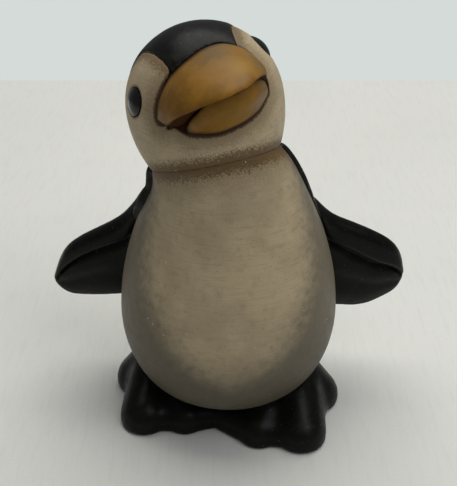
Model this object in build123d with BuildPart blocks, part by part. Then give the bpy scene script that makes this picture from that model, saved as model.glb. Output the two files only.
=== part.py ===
from build123d import *

import math
import os

# Painted resin penguin figurine, cast in separate pieces that are pinned and glued together.
# Millimetres. +Z is up, the penguin faces -Y, and the origin is on the ground under the middle
# of its bounding box. Left and right are the penguin's own, so its left side is at +X.

# Castings, glue joints and cuts
wall = 5.0
joint_gap = 0.1
cut_overrun = 2.0

# Body: an egg on a flat underside
body_axis_y = -3.0
body_half_width = 41.8
body_half_depth = 39.0
body_underside_z = 9.0
body_shoulder_height = 76.0
body_belly_lead = 1.5
# Height, girth and belly lead, as shares of the sizes above, from the underside to the shoulders
body_station_shares = (
    (0.00, 0.48, 0.0),
    (0.04, 0.67, 0.1),
    (0.12, 0.825, 0.4),
    (0.24, 0.933, 0.8),
    (0.38, 0.993, 1.0),
    (0.54, 1.00, 1.0),
    (0.70, 0.962, 0.7),
    (0.855, 0.890, 0.0),
    (1.00, 0.792, -0.6),
)
nape_rise = 12.5
nape_shift_x = -1.1
nape_radius_share = 0.66
nape_tilt_share = 0.5

# Stopper in the filling hole of the body's underside
filling_hole_radius = 8.0
filling_hole_y = 8.0
stopper_flange = 2.2
stopper_flange_thickness = 1.4
stopper_length = 6.5

# Neck: a flat round seat, tilted back and to one side
neck_radius = 23.4
neck_rise = 23.2
neck_shift_x = -4.6
neck_back_slope = 0.36
neck_side_slope = 0.2
neck_dowel_radius = 5.0
neck_dowel_length = 17.0

# Black coat let into the back of the body, standing a little proud of it
coat_relief = 0.8
coat_depth = 1.5
# Front edge of the coat seen from the side: shares of the half depth and of the shoulder height
coat_edge_shares = (
    (0.02, 1.60),
    (0.06, 1.30),
    (0.11, 1.05),
    (0.18, 0.82),
    (0.29, 0.55),
    (0.52, 0.26),
    (0.84, 0.00),
)

# Head: a ball that narrows a little to the neck
head_radius = 28.2
head_above_neck = 20.0
head_floor_drop = 13.0
head_turn = 15.1
head_lift = 27.8
head_tilt = 17.5

# Black cap let into the top and back of the head
cap_relief = 0.4
cap_depth = 1.5
cap_shift_x = 1.7
cap_turn = 4.6
cap_back_share = -0.27
# Side edge of the cap seen from above the face: sideways and forward shares of the head radius
cap_edge_shares = (
    (0.40, 0.96),
    (0.435, 0.74),
    (0.47, 0.59),
    (0.51, 0.43),
    (0.58, 0.18),
    (0.69, -0.02),
    (0.82, -0.17),
    (0.96, -0.26),
)

# Beak: two wide plump halves seated on the front of the head
beak_roll = 5.0
mouth_slant = 1.2
upper_shift_x = -3.9
upper_lift = 0.3
upper_skew = 0.2
lower_shift_x = -1.8
beak_seat_depth = 1.8
upper_reach = 48.5
upper_half_width = 19.2
upper_height = 16.9
mouth_level = 0.8
lip_drop = 2.3
lower_reach = 41.5
lower_half_width = 15.8
lower_depth = 9.8
mouth_gap = 0.65
# Reach, half width, height and lip drop of the upper half, as shares, from the head to the tip
upper_station_shares = (
    (0.29, 0.92, 0.97, 0.65),
    (0.46, 1.00, 0.99, 0.50),
    (0.62, 0.94, 0.85, -0.10),
    (0.76, 0.78, 0.62, -0.45),
    (0.88, 0.55, 0.38, -0.40),
    (0.96, 0.33, 0.20, -0.10),
    (1.00, 0.14, 0.09, 0.05),
)
# Reach, half width, depth and lip drop of the lower half, as shares
lower_station_shares = (
    (0.34, 0.94, 0.97, 0.85),
    (0.54, 1.00, 0.99, 0.70),
    (0.72, 0.88, 0.86, 0.20),
    (0.86, 0.65, 0.66, -0.30),
    (0.95, 0.40, 0.46, -0.40),
    (1.00, 0.18, 0.28, -0.30),
)
# Half outlines of the beak cut across: sideways and upright shares, from the middle to the side
upper_outline_shares = ((0.0, 1.0), (0.32, 0.965), (0.60, 0.84), (0.83, 0.61), (0.97, 0.33), (1.0, 0.12))
lip_outline_shares = ((0.93, 0.75), (0.76, 1.0), (0.42, 0.55), (0.0, 0.0))
lower_outline_shares = ((0.0, 1.0), (0.32, 0.96), (0.62, 0.81), (0.85, 0.58), (0.98, 0.37))
lower_lip_outline_shares = ((0.94, 0.90), (0.78, 1.00), (0.46, 0.60), (0.0, 0.0))
beak_peg_radius = 2.5
beak_peg_length = 2.4
upper_peg_height = 6.5
lower_peg_depth = 7.0

# Eyes: glossy black beads on stems, let into the sides of the head
eye_radius = 4.8
eye_dome = 1.5
eye_seat = 1.6
eye_stem_radius = 1.3
eye_stem_length = 2.2
eye_swing = 70.5
eye_lift = 21.0

# Wings: broad flippers with a rolled leading edge and a crease behind it, their tips at shares
# of the shoulder height
wing_span = 71.2
wing_chord = 40.0
wing_lead_y = 5.6
wing_lean = 0.2
wing_roll = 8.6
wing_blade = 5.4
left_wing_tip_share = 0.508
right_wing_tip_share = 0.470
# Reach in shares of the span, top and bottom in shares of the chord above and below the tip,
# place of the crease in shares of the height, and thickness in shares of the roll and blade
left_wing_shares = (
    (0.34, 1.14, 0.46, 0.22, 1.00),
    (0.44, 1.00, 0.46, 0.22, 1.00),
    (0.54, 0.80, 0.465, 0.22, 1.00),
    (0.645, 0.68, 0.465, 0.25, 1.00),
    (0.755, 0.585, 0.47, 0.31, 0.96),
    (0.84, 0.50, 0.42, 0.36, 0.90),
    (0.91, 0.405, 0.33, 0.38, 0.80),
    (0.96, 0.285, 0.25, 0.40, 0.66),
    (0.985, 0.16, 0.165, 0.45, 0.50),
    (1.00, 0.05, 0.07, 0.50, 0.30),
)
right_wing_shares = (
    (0.34, 1.28, 0.22, 0.26, 1.00),
    (0.44, 1.22, 0.22, 0.26, 1.00),
    (0.54, 0.92, 0.22, 0.25, 1.00),
    (0.645, 0.74, 0.222, 0.23, 1.00),
    (0.755, 0.625, 0.232, 0.23, 0.96),
    (0.84, 0.525, 0.23, 0.25, 0.90),
    (0.91, 0.405, 0.215, 0.28, 0.80),
    (0.96, 0.24, 0.155, 0.30, 0.66),
    (0.985, 0.12, 0.09, 0.40, 0.50),
    (1.00, 0.035, 0.02, 0.50, 0.30),
)
# Outline of a wing cut across: place along the roll or the blade, and half thickness, as shares
roll_outline_shares = ((0.20, 0.40), (0.55, 0.50), (0.85, 0.38))
blade_outline_shares = ((0.10, 0.42), (0.45, 0.50), (0.80, 0.36))
crease_depth_share = 0.12
# Pins through the wings' blades: height above the wing's tip as a share of the chord
wing_pin_radius = 1.1
wing_pin_length = 13.0
wing_pin_seat = 4.4
wing_pin_rise = 0.3
wing_pin_slope = 8.0

# Feet: one casting, three rounded toes and a heel on each side of a short web
# Middle of each foot, as shares of the body's half width and half depth from the body's axis
left_foot_shares = (0.526, -0.256)
left_foot_turn = -5.8
right_foot_shares = (-0.584, -0.026)
right_foot_turn = -2.2
feet_underside_z = 0.6
# Balls at the end and at the root of each toe: sideways and forward of the foot's middle, height
inner_toe = (-8.0, -18.6, 2.4)
middle_toe = (8.2, -18.5, 2.8)
outer_toe = (12.7, 4.8, 3.2)
inner_root = (0.0, 2.5, 8.0)
middle_root = (2.5, 3.5, 8.5)
outer_root = (3.5, 5.0, 9.0)
heel = (1.0, 17.0, 5.5)
inner_toe_radius = 9.0
middle_toe_radius = 10.2
outer_toe_radius = 10.2
inner_root_radius = 13.0
middle_root_radius = 14.0
outer_root_radius = 13.4
heel_radius = 11.0
toe_web_radius = 7.6
# Web between the feet: two arms from the inner toes that meet behind a notch
web_shift_x = -2.3
web_lead = 11.0
web_z = 1.8
web_arm_radius = 8.4
web_middle_radius = 8.2
web_root_radius = 7.8

# Dowels between the feet and the body
foot_dowel_radius = 2.0
foot_dowel_length = 8.4
foot_dowel_inset = 9.5

# Felt pads let into the underside of the feet
felt_thickness = 1.6
felt_half_width = 8.5
felt_half_length = 19.0
felt_lead = 0.5

# Tail: a short flat stub low on the back
tail_half_width = 11.0
tail_half_thickness = 4.2
# Length and girth of the tail, as shares, from inside the body to its tip
tail_station_shares = ((0.0, 1.0), (0.5, 0.86), (0.82, 0.58), (0.96, 0.28), (1.0, 0.1))
tail_root_share = 0.21
tail_root_inset = 9.0
tail_length = 25.0
tail_droop = 32.0
tail_peg_radius = 2.0
tail_peg_length = 11.0
tail_peg_start = 5.2


# Where the neck seat, the head and the face lie
shoulder_z = body_underside_z + body_shoulder_height
neck_axis = Vector(-neck_side_slope, neck_back_slope, 1).normalized()
nape_axis = Vector(-neck_side_slope * nape_tilt_share, neck_back_slope * nape_tilt_share, 1).normalized()
neck_centre = Vector(neck_shift_x, body_axis_y, shoulder_z + neck_rise)
nape_centre = Vector(nape_shift_x, body_axis_y + body_belly_lead, shoulder_z + nape_rise)
neck_side = Vector(0, 1, 0).cross(neck_axis).normalized()
nape_side = Vector(0, 1, 0).cross(nape_axis).normalized()
neck_plane = Plane(neck_centre, x_dir=neck_side, z_dir=neck_axis)
nape_plane = Plane(nape_centre, x_dir=nape_side, z_dir=nape_axis)
head_centre = neck_centre + neck_axis * head_above_neck
head_floor_plane = Plane(head_centre - neck_axis * head_floor_drop, x_dir=neck_side, z_dir=neck_axis)
head_section_plane = Plane(head_centre, x_dir=neck_side, z_dir=neck_side.cross(neck_axis))


def face_directions():
    """The face's own right, up and forward, with right at +X for a face that looks to -Y."""
    turn = math.radians(head_turn)
    lift = math.radians(head_lift)
    tilt = math.radians(head_tilt)
    forward = Vector(math.sin(turn) * math.cos(lift), -math.cos(turn) * math.cos(lift), math.sin(lift))
    level_side = Vector(math.cos(turn), math.sin(turn), 0)
    level_up = forward.cross(level_side)
    side = level_side * math.cos(tilt) + level_up * math.sin(tilt)
    return side, forward.cross(side), forward


face_side, face_up, face_forward = face_directions()
crown_plane = Plane(head_centre, x_dir=face_forward, z_dir=face_up).rotated((0, 0, -cap_turn))
upper_beak_middle = head_centre + face_side * upper_shift_x + face_up * upper_lift
lower_beak_middle = head_centre + face_side * lower_shift_x
upper_beak_plane = Plane(upper_beak_middle, x_dir=face_side, z_dir=face_forward).rotated((0, 0, beak_roll))
lower_beak_plane = Plane(lower_beak_middle, x_dir=face_side, z_dir=face_forward)
lower_beak_plane = lower_beak_plane.rotated((0, 0, beak_roll + mouth_slant))


def body_measures(z):
    """The body's middle, half width and half depth at a height, between its stations."""
    height = (z - body_underside_z) / body_shoulder_height
    below = max(station for station in body_station_shares[:-1] if station[0] <= height)
    above = min(station for station in body_station_shares if station[0] > below[0])
    blend = (height - below[0]) / (above[0] - below[0])
    girth = below[1] + blend * (above[1] - below[1])
    lead = below[2] + blend * (above[2] - below[2])
    return body_axis_y - lead * body_belly_lead, girth * body_half_width, girth * body_half_depth


def body_form(skin, with_neck):
    """The body's egg, grown outwards by a skin, or shrunk by a negative one."""
    with BuildPart() as form:
        for height, girth, lead in body_station_shares:
            centre_y = body_axis_y - lead * body_belly_lead
            z = body_underside_z + height * body_shoulder_height
            if height == 0:
                z -= skin
            with BuildSketch(Plane((0, centre_y, z))):
                Ellipse(girth * body_half_width + skin, girth * body_half_depth + skin)
        with BuildSketch(nape_plane):
            nape_radius = nape_radius_share * body_half_width + skin
            Ellipse(nape_radius, nape_radius * body_half_depth / body_half_width)
        if with_neck:
            with BuildSketch(neck_plane):
                Circle(neck_radius + skin)
        loft()
    return form.part


def head_form(skin):
    """The head's ball with its neck, grown outwards by a skin."""
    radius = head_radius + skin
    diagonal = radius * math.sqrt(0.5)
    with BuildPart() as form:
        with BuildSketch(head_section_plane):
            with BuildLine():
                ThreePointArc((0, radius), (diagonal, diagonal), (radius, 0))
                TangentArc((radius, 0), (neck_radius + skin, -head_above_neck), tangent=(0, -1))
                Polyline((neck_radius + skin, -head_above_neck), (0, -head_above_neck), (0, radius))
            make_face()
        revolve(axis=Axis(head_centre, neck_axis))
    return form.part


def coat_region():
    """All that lies behind the coat's front edge."""
    edge = [
        (body_axis_y + depth * body_half_depth, body_underside_z + height * body_shoulder_height)
        for depth, height in coat_edge_shares
    ]
    back_y = body_axis_y + body_half_depth + coat_relief + cut_overrun
    with BuildPart() as region:
        with BuildSketch(Plane.YZ):
            with BuildLine():
                Spline(*edge)
                Polyline(edge[-1], (back_y, edge[-1][1]), (back_y, edge[0][1]), edge[0])
            make_face()
        extrude(amount=body_half_width + coat_relief + cut_overrun, both=True)
    return region.part


def cap_region():
    """All that lies above and behind the cap's edge."""
    far = head_radius + head_above_neck
    edge = [(forward * head_radius, side * head_radius) for side, forward in cap_edge_shares]
    right_edge = [(forward, cap_shift_x + side) for forward, side in edge]
    left_edge = [(forward, cap_shift_x - side) for forward, side in edge]
    back = right_edge[-1][0]
    with BuildPart() as region:
        with BuildSketch(crown_plane):
            with BuildLine():
                Spline(*right_edge)
                corners = ((back, far), (-far, far), (-far, -far), (back, -far))
                Polyline(right_edge[-1], *corners, left_edge[-1])
                Spline(*left_edge)
                Line(left_edge[0], right_edge[0])
            make_face()
        extrude(amount=far)
        with BuildSketch(crown_plane):
            with BuildLine():
                nape = cap_back_share * head_radius
                Polyline((nape, far), (-far, far), (-far, -far), (nape, -far), close=True)
            make_face()
        extrude(amount=far, both=True)
    return region.part


def beak_section(half_width, rise, drop, level, outline, lips, skew):
    """The outline of one half of the beak cut across, its ridge skewed towards its right side."""
    points = []
    for way in (1, -1):
        half = []
        for side, height in outline:
            half.append((way * side * half_width, level + height * rise * (1 + way * side * skew)))
        half += [(way * side * half_width, level - height * drop) for side, height in lips]
        points += half if way == 1 else reversed(half[1:-1])
    return points


def upper_beak_form():
    """The upper half of the beak, from inside the head to its tip."""
    with BuildPart() as form:
        for reach, width, height, lip in upper_station_shares:
            points = beak_section(
                width * upper_half_width,
                height * upper_height,
                lip * lip_drop,
                -mouth_level,
                upper_outline_shares,
                lip_outline_shares,
                upper_skew,
            )
            with BuildSketch(upper_beak_plane.offset(reach * upper_reach)):
                with BuildLine():
                    Spline(*points, periodic=True)
                make_face()
        loft()
    return form.part


def lower_beak_form():
    """The lower half of the beak, a gap below the upper one."""
    with BuildPart() as form:
        for reach, width, depth, lip in lower_station_shares:
            points = beak_section(
                width * lower_half_width,
                -depth * lower_depth,
                lip * lip_drop,
                -mouth_level - mouth_gap,
                lower_outline_shares,
                lower_lip_outline_shares,
                0,
            )
            with BuildSketch(lower_beak_plane.offset(reach * lower_reach)):
                with BuildLine():
                    Spline(*points, periodic=True)
                make_face()
        loft()
    return form.part


def beak_peg(plane, height, skin, floor):
    """A round peg behind one half of the beak, grown by a skin, down to a floor in the head."""
    with BuildPart() as peg:
        with BuildSketch(plane):
            with Locations((0, height)):
                Circle(beak_peg_radius + skin)
        extrude(amount=head_radius)
        add(floor, mode=Mode.SUBTRACT)
    return peg.part


def eye_plane(side):
    """The rim of an eye's socket, on the left (1) or on the right (-1) of the head."""
    swing = math.radians(eye_swing)
    lift = math.radians(eye_lift)
    outward = (
        face_forward * (math.cos(lift) * math.cos(swing))
        + face_side * (side * math.cos(lift) * math.sin(swing))
        + face_up * math.sin(lift)
    )
    rim_distance = math.sqrt(head_radius**2 - eye_radius**2)
    return Plane(head_centre + outward * rim_distance, z_dir=outward)


def eye_form(plane, skin):
    """A bead with its stem, grown by a skin."""
    section = Plane(plane.origin, x_dir=plane.x_dir, z_dir=-plane.y_dir)
    rim = eye_radius + skin
    stem = eye_stem_radius + skin
    seat = -eye_seat - skin
    foot = seat - eye_stem_length
    with BuildPart() as form:
        with BuildSketch(section):
            with BuildLine():
                Polyline((0, eye_dome), (0, foot), (stem, foot), (stem, seat), (rim, seat), (rim, 0))
                TangentArc((0, eye_dome), (rim, 0), tangent=(1, 0))
            make_face()
        revolve(axis=Axis(plane.origin, plane.z_dir))
    return form.part


def wing_section(top, bottom, crease, thickness):
    """The outline of a wing cut across: forward and down points, from top to bottom and back."""
    height = top - bottom
    roll = wing_roll * thickness
    blade = wing_blade * thickness
    front = [(place * crease, depth * roll) for place, depth in roll_outline_shares]
    front.append((crease, crease_depth_share * roll))
    back = [(place * crease, depth * roll) for place, depth in roll_outline_shares]
    for place, depth in blade_outline_shares:
        along = crease + place * (1 - crease)
        front.append((along, depth * blade))
        back.append((along, depth * blade))
    outline = [(0, 0)] + front + [(1, 0)] + [(along, -depth) for along, depth in reversed(back)]
    slant = math.hypot(1, wing_lean)
    points = []
    for along, depth in outline:
        z = top - along * height - depth * wing_lean / slant
        y = -depth / slant + along * height * wing_lean
        points.append((y, z))
    return points


def wing_form(side, tip_z, shares):
    """A wing from inside the body to its tip, on the left (1) or on the right (-1)."""
    with BuildPart() as form:
        for reach, rise, fall, crease, thickness in shares:
            top = tip_z + rise * wing_chord
            bottom = tip_z - fall * wing_chord
            start_y = wing_lead_y + (1 - rise) * wing_chord * wing_lean
            points = wing_section(top, bottom, crease, thickness)
            with BuildSketch(Plane.YZ.offset(side * reach * wing_span)):
                with BuildLine():
                    Spline(*[(start_y + y, z) for y, z in points], periodic=True)
                make_face()
        loft()
    return form.part


def wing_pin_plane(side, tip_z):
    """The start of a wing's pin, below the body's surface and in the middle of the blade."""
    z = tip_z + wing_pin_rise * wing_chord
    y = wing_lead_y + (1 - wing_pin_rise) * wing_chord * wing_lean
    middle_y, half_width, half_depth = body_measures(z)
    x = half_width * math.sqrt(1 - ((y - middle_y) / half_depth) ** 2)
    slope = math.radians(wing_pin_slope)
    axis = Vector(side * math.cos(slope), math.sin(slope) * wing_lean, -math.sin(slope))
    return Plane((side * x, y, z), z_dir=axis).offset(-wing_pin_seat)


def rounded_toe(start, start_radius, end, end_radius):
    """Two balls and the cone that joins them."""
    axis = end - start
    length = axis.length
    along = axis.normalized()
    across = along.cross(Vector(0, 0, 1)).normalized()
    lean = (start_radius - end_radius) / length
    rise = math.sqrt(1 - lean**2)
    with BuildPart() as form:
        with BuildSketch(Plane(start, x_dir=along, z_dir=across)):
            with BuildLine():
                first = (start_radius * lean, start_radius * rise)
                second = (length + end_radius * lean, end_radius * rise)
                last = (length + end_radius, 0)
                TangentArc((-start_radius, 0), first, tangent=(0, 1))
                Line(first, second)
                TangentArc(last, second, tangent=(0, 1))
                Line(last, (-start_radius, 0))
            make_face()
        revolve(axis=Axis(start, along))
    return form.part


def foot_point(plane, side, place):
    """A point of a foot, mirrored for the right one."""
    return plane.from_local_coords(Vector(side * place[0], place[1], place[2]))


def foot_plane(shares, turn):
    """The middle of a foot on the ground, below the body."""
    middle = (shares[0] * body_half_width, body_axis_y + shares[1] * body_half_depth, 0)
    return Plane(middle, x_dir=(math.cos(math.radians(turn)), math.sin(math.radians(turn)), 0))


left_foot_plane = foot_plane(left_foot_shares, left_foot_turn)
right_foot_plane = foot_plane(right_foot_shares, right_foot_turn)
feet = ((left_foot_plane, 1), (right_foot_plane, -1))
toes = (
    (inner_root, inner_root_radius, inner_toe, inner_toe_radius),
    (middle_root, middle_root_radius, middle_toe, middle_toe_radius),
    (outer_root, outer_root_radius, outer_toe, outer_toe_radius),
    (middle_root, middle_root_radius, heel, heel_radius),
)
feet_middle = (left_foot_plane.origin + right_foot_plane.origin) / 2
web_middle = feet_middle + Vector(web_shift_x, -web_lead, web_z)
dowel_place = (middle_root[0] - foot_dowel_inset, middle_root[1], body_underside_z)
pad_place = (middle_root[0], -felt_lead, 0)
left_eye_plane = eye_plane(1)
right_eye_plane = eye_plane(-1)
left_wing_tip_z = body_underside_z + left_wing_tip_share * body_shoulder_height
right_wing_tip_z = body_underside_z + right_wing_tip_share * body_shoulder_height
left_pin_plane = wing_pin_plane(1, left_wing_tip_z)
right_pin_plane = wing_pin_plane(-1, right_wing_tip_z)
tail_root_z = body_underside_z + tail_root_share * body_shoulder_height
tail_middle_y, _, tail_half_depth = body_measures(tail_root_z)
tail_root_y = tail_middle_y + tail_half_depth - tail_root_inset
tail_drop = math.radians(tail_droop)
tail_axis = Vector(0, math.cos(tail_drop), -math.sin(tail_drop))
tail_plane = Plane((0, tail_root_y, tail_root_z), x_dir=(1, 0, 0), z_dir=tail_axis)

os.makedirs("parts", exist_ok=True)

body_solid = body_form(0, True)
body_clearance = body_form(joint_gap, True)
coat_outer = body_form(coat_relief, True)
coat_seat = body_form(-coat_depth, True)
coat_inner = body_form(joint_gap - coat_depth, True)
body_hollow = body_form(-wall, False)
peg_floor = head_form(-beak_seat_depth - beak_peg_length)
peg_hole_floor = head_form(-beak_seat_depth - beak_peg_length - joint_gap)
behind_coat_edge = coat_region()
head_solid = head_form(0)
cap_outer = head_form(cap_relief)
cap_seat = head_form(-cap_depth)
cap_inner = head_form(joint_gap - cap_depth)
beak_seat = head_form(-beak_seat_depth)
beak_back = head_form(joint_gap - beak_seat_depth)
behind_cap_edge = cap_region()
upper_blank = upper_beak_form()
lower_blank = lower_beak_form()
left_wing_blank = wing_form(1, left_wing_tip_z, left_wing_shares)
right_wing_blank = wing_form(-1, right_wing_tip_z, right_wing_shares)

with BuildPart() as neck_dowel:
    with BuildSketch(neck_plane):
        Circle(neck_dowel_radius)
    extrude(amount=neck_dowel_length / 2, both=True)

with BuildPart() as neck_dowel_holes:
    with BuildSketch(neck_plane):
        Circle(neck_dowel_radius + joint_gap)
    extrude(amount=neck_dowel_length / 2 + joint_gap, both=True)

with BuildPart() as wing_dowels:
    for pin_plane in (left_pin_plane, right_pin_plane):
        with BuildSketch(pin_plane):
            Circle(wing_pin_radius)
        extrude(amount=wing_pin_length)

with BuildPart() as foot_dowels:
    for plane, side in feet:
        with Locations(foot_point(plane, side, dowel_place)):
            Cylinder(foot_dowel_radius, foot_dowel_length)

with BuildPart() as tail_peg:
    with BuildSketch(tail_plane.offset(tail_peg_start)):
        Circle(tail_peg_radius)
    extrude(amount=tail_peg_length)

with BuildPart() as back_coat:
    add(coat_outer)
    add(coat_inner, mode=Mode.SUBTRACT)
    add(behind_coat_edge, mode=Mode.INTERSECT)
    add(wing_dowels.part, mode=Mode.SUBTRACT)
    add(tail_peg.part, mode=Mode.SUBTRACT)

with BuildPart() as body_shell:
    add(body_solid)
    add(behind_coat_edge & (coat_outer - coat_seat), mode=Mode.SUBTRACT)
    add(body_hollow, mode=Mode.SUBTRACT)
    with BuildSketch(Plane.XY.offset(body_underside_z)):
        with Locations((0, filling_hole_y)):
            Circle(filling_hole_radius)
    extrude(amount=wall + cut_overrun, both=True, mode=Mode.SUBTRACT)
    add(neck_dowel_holes.part, mode=Mode.SUBTRACT)
    add(wing_dowels.part, mode=Mode.SUBTRACT)
    add(foot_dowels.part, mode=Mode.SUBTRACT)
    add(tail_peg.part, mode=Mode.SUBTRACT)

with BuildPart() as base_stopper:
    with Locations((0, filling_hole_y, body_underside_z)):
        Cylinder(
            filling_hole_radius - joint_gap,
            stopper_length,
            align=(Align.CENTER, Align.CENTER, Align.MIN),
        )
        Cylinder(
            filling_hole_radius + stopper_flange,
            stopper_flange_thickness,
            align=(Align.CENTER, Align.CENTER, Align.MAX),
        )

with BuildPart() as tail:
    for reach, girth in tail_station_shares:
        with BuildSketch(tail_plane.offset(reach * tail_length)):
            Ellipse(girth * tail_half_width, girth * tail_half_thickness)
    loft()
    add(coat_outer, mode=Mode.SUBTRACT)
    add(tail_peg.part, mode=Mode.SUBTRACT)

with BuildPart() as left_wing:
    add(left_wing_blank)
    add(body_clearance, mode=Mode.SUBTRACT)
    add(back_coat.part, mode=Mode.SUBTRACT)
    add(wing_dowels.part, mode=Mode.SUBTRACT)

with BuildPart() as right_wing:
    add(right_wing_blank)
    add(body_clearance, mode=Mode.SUBTRACT)
    add(back_coat.part, mode=Mode.SUBTRACT)
    add(wing_dowels.part, mode=Mode.SUBTRACT)

with BuildPart() as feet_base:
    for plane, side in feet:
        for root, root_radius, place, radius in toes:
            start = foot_point(plane, side, root)
            end = foot_point(plane, side, place)
            add(rounded_toe(start, root_radius, end, radius))
        for first, second in ((inner_toe, middle_toe), (middle_toe, outer_toe)):
            ends = [foot_point(plane, side, place) for place in (first, second)]
            add(rounded_toe(ends[0], toe_web_radius, ends[1], toe_web_radius))
    left_inner_toe = foot_point(left_foot_plane, 1, inner_toe)
    right_inner_toe = foot_point(right_foot_plane, -1, inner_toe)
    add(rounded_toe(web_middle, web_middle_radius, left_inner_toe, web_arm_radius))
    add(rounded_toe(web_middle, web_root_radius, right_inner_toe, web_arm_radius))
    split(bisect_by=Plane.XY.offset(feet_underside_z), keep=Keep.TOP)
    add(body_clearance, mode=Mode.SUBTRACT)
    add(foot_dowels.part, mode=Mode.SUBTRACT)
    for plane, side in feet:
        with BuildSketch(plane):
            with Locations((side * pad_place[0], pad_place[1])):
                Ellipse(felt_half_width + joint_gap, felt_half_length + joint_gap)
        extrude(amount=felt_thickness, mode=Mode.SUBTRACT)

with BuildPart() as felt_pads:
    for plane, side in feet:
        with BuildSketch(plane):
            with Locations((side * pad_place[0], pad_place[1])):
                Ellipse(felt_half_width, felt_half_length)
        extrude(amount=felt_thickness)

with BuildPart() as left_eye:
    add(eye_form(left_eye_plane, 0))

with BuildPart() as right_eye:
    add(eye_form(right_eye_plane, 0))

with BuildPart() as upper_beak:
    add(upper_blank)
    add(beak_back, mode=Mode.SUBTRACT)
    add(beak_peg(upper_beak_plane, upper_peg_height, 0, peg_floor))

with BuildPart() as lower_beak:
    add(lower_blank)
    add(beak_back, mode=Mode.SUBTRACT)
    add(beak_peg(lower_beak_plane, -lower_peg_depth, 0, peg_floor))

with BuildPart() as crown_cap:
    add(cap_outer)
    add(cap_inner, mode=Mode.SUBTRACT)
    add(behind_cap_edge, mode=Mode.INTERSECT)
    add(upper_blank, mode=Mode.SUBTRACT)

with BuildPart() as head_hollow:
    add(head_form(-wall))
    split(bisect_by=head_floor_plane, keep=Keep.TOP)

with BuildPart() as head_shell:
    add(head_solid)
    add(behind_cap_edge & (cap_outer - cap_seat), mode=Mode.SUBTRACT)
    add(head_hollow.part, mode=Mode.SUBTRACT)
    add(neck_dowel_holes.part, mode=Mode.SUBTRACT)
    add(upper_blank - beak_seat, mode=Mode.SUBTRACT)
    add(lower_blank - beak_seat, mode=Mode.SUBTRACT)
    add(beak_peg(upper_beak_plane, upper_peg_height, joint_gap, peg_hole_floor), mode=Mode.SUBTRACT)
    add(beak_peg(lower_beak_plane, -lower_peg_depth, joint_gap, peg_hole_floor), mode=Mode.SUBTRACT)
    add(eye_form(left_eye_plane, joint_gap), mode=Mode.SUBTRACT)
    add(eye_form(right_eye_plane, joint_gap), mode=Mode.SUBTRACT)

body_shell.part.label = "body_shell"
back_coat.part.label = "back_coat"
head_shell.part.label = "head_shell"
crown_cap.part.label = "crown_cap"
upper_beak.part.label = "upper_beak"
lower_beak.part.label = "lower_beak"
left_eye.part.label = "left_eye"
right_eye.part.label = "right_eye"
left_wing.part.label = "left_wing"
right_wing.part.label = "right_wing"
feet_base.part.label = "feet_base"
tail.part.label = "tail"
neck_dowel.part.label = "neck_dowel"
wing_dowels.part.label = "wing_dowels"
foot_dowels.part.label = "foot_dowels"
tail_peg.part.label = "tail_peg"
base_stopper.part.label = "base_stopper"
felt_pads.part.label = "felt_pads"

export_step(body_shell.part, "parts/body_shell.step")
export_step(back_coat.part, "parts/back_coat.step")
export_step(head_shell.part, "parts/head_shell.step")
export_step(crown_cap.part, "parts/crown_cap.step")
export_step(upper_beak.part, "parts/upper_beak.step")
export_step(lower_beak.part, "parts/lower_beak.step")
export_step(left_eye.part, "parts/left_eye.step")
export_step(right_eye.part, "parts/right_eye.step")
export_step(left_wing.part, "parts/left_wing.step")
export_step(right_wing.part, "parts/right_wing.step")
export_step(feet_base.part, "parts/feet_base.step")
export_step(tail.part, "parts/tail.step")
export_step(neck_dowel.part, "parts/neck_dowel.step")
export_step(wing_dowels.part, "parts/wing_dowels.step")
export_step(foot_dowels.part, "parts/foot_dowels.step")
export_step(tail_peg.part, "parts/tail_peg.step")
export_step(base_stopper.part, "parts/base_stopper.step")
export_step(felt_pads.part, "parts/felt_pads.step")
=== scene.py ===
import math

import bmesh
import bpy
import numpy as np
from bpy.props import FloatProperty, FloatVectorProperty, IntProperty, PointerProperty
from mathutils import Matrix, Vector
from mathutils.bvhtree import BVHTree


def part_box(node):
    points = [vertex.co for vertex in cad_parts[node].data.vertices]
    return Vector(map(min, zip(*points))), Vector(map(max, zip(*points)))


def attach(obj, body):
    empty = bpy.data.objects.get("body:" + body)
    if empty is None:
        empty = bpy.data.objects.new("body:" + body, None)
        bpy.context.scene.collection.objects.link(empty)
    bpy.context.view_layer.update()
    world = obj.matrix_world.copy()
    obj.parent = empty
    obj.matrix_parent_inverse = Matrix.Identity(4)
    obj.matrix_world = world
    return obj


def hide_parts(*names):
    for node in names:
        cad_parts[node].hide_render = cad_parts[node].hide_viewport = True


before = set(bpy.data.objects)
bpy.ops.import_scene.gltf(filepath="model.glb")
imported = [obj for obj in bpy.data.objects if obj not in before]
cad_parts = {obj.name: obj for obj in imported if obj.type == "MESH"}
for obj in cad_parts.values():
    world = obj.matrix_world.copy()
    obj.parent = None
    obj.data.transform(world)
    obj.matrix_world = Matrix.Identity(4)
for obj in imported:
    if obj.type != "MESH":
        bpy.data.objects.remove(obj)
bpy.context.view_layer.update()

bl_info = {
    "name": "Painted penguin figurine",
    "version": (1, 0, 0),
    "blender": (4, 5, 0),
    "location": "3D View > Sidebar > Figurine",
    "description": "Hand-painted finish of a cast penguin figurine on its fixed frame",
    "category": "Object",
}

MM = 0.001

# Directions of the neck, the face and the beak, as the solids have them
NECK_LEAN = (-0.2, 0.36, 1.0)
NECK_AXIS = np.array(NECK_LEAN) / math.hypot(*NECK_LEAN)
FACE_TURN = math.radians(15.1)
FACE_LIFT = math.radians(27.8)
BEAK_TILT = math.radians(22.5)

# Where the flanks' grey paint and painted shade begin: degrees from the front, at heights in millimetres
SHADE_HEIGHTS = (24, 28, 33, 38, 45, 52, 62, 74, 91, 100)
SHADE_TURNS = (-24, -12, 3, 14, 23, 31, 42, 53, 66, 74)

# How far to both sides of that the shading is told apart, in degrees
SHADE_RANGE = 60

# The body's middle, from front to back, in millimetres
BODY_MIDDLE_Y = -3.0

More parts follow.
